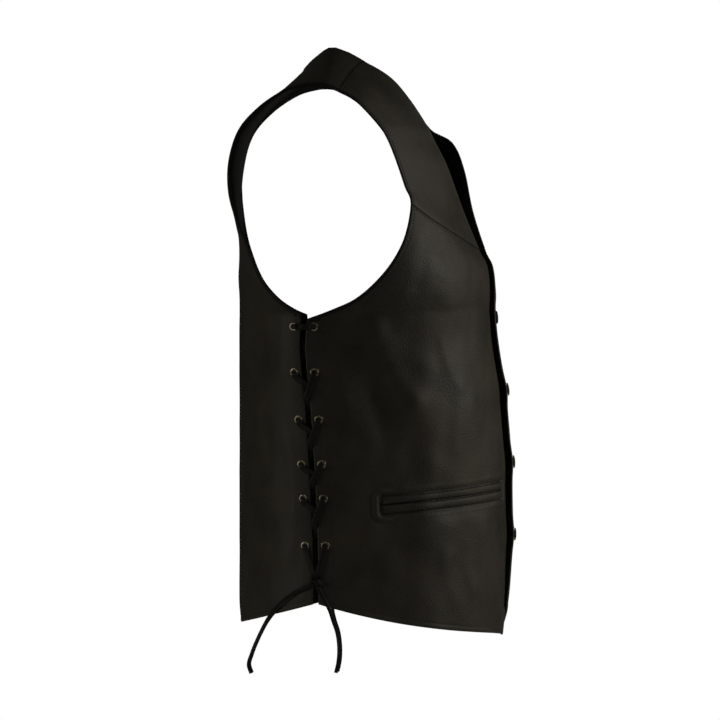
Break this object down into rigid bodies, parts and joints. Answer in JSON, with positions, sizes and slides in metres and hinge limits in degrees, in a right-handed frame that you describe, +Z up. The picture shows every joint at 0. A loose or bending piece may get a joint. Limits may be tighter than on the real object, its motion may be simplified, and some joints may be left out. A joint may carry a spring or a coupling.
{
  "type": "leather vest",
  "caption": "Worn, empty hip-length vest of smooth black leather with a V neck, front yokes, slanted welt pockets, a snapped lapped front and laced sides.",
  "frame": {"origin": "midway between the two shoulders, at the height where the straps rest on them", "axes": "+Z up, the front faces -Y, the wearer's left is +X"},
  "size_m": [0.3884, 0.3251, 0.7211],
  "materials": {
    "leather": "smooth, semi-matte",
    "lace_leather": "matte thong",
    "eyelet_metal": "dull antique",
    "snap_metal": "blackened, satin"
  },
  "bodies": {
    "root": {"back": "leather", "front_right": "leather", "yoke_right": "leather", "welt_upper_right": "leather", "welt_lower_right": "leather", "front_left": "leather", "yoke_left": "leather", "welt_upper_left": "leather", "welt_lower_left": "leather", "eyelet_front_right_1": "eyelet_metal", "eyelet_front_right_2": "eyelet_metal", "eyelet_front_right_3": "eyelet_metal", "eyelet_front_right_4": "eyelet_metal", "eyelet_front_right_5": "eyelet_metal", "eyelet_front_right_6": "eyelet_metal", "eyelet_back_right_1": "eyelet_metal", "eyelet_back_right_2": "eyelet_metal", "eyelet_back_right_3": "eyelet_metal", "eyelet_back_right_4": "eyelet_metal", "eyelet_back_right_5": "eyelet_metal", "eyelet_back_right_6": "eyelet_metal", "eyelet_front_left_1": "eyelet_metal", "eyelet_front_left_2": "eyelet_metal", "eyelet_front_left_3": "eyelet_metal", "eyelet_front_left_4": "eyelet_metal", "eyelet_front_left_5": "eyelet_metal", "eyelet_front_left_6": "eyelet_metal", "eyelet_back_left_1": "eyelet_metal", "eyelet_back_left_2": "eyelet_metal", "eyelet_back_left_3": "eyelet_metal", "eyelet_back_left_4": "eyelet_metal", "eyelet_back_left_5": "eyelet_metal", "eyelet_back_left_6": "eyelet_metal", "snap_cap_1": "snap_metal", "snap_stud_1": "snap_metal", "snap_cap_2": "snap_metal", "snap_stud_2": "snap_metal", "snap_cap_3": "snap_metal", "snap_stud_3": "snap_metal", "snap_cap_4": "snap_metal", "snap_stud_4": "snap_metal", "lace_right": "lace_leather", "lace_knot_right": "lace_leather", "lace_end_back_right": "lace_leather", "lace_end_front_right": "lace_leather", "lace_left": "lace_leather", "lace_knot_left": "lace_leather", "lace_end_back_left": "lace_leather", "lace_end_front_left": "lace_leather"}
  },
  "joints": []
}
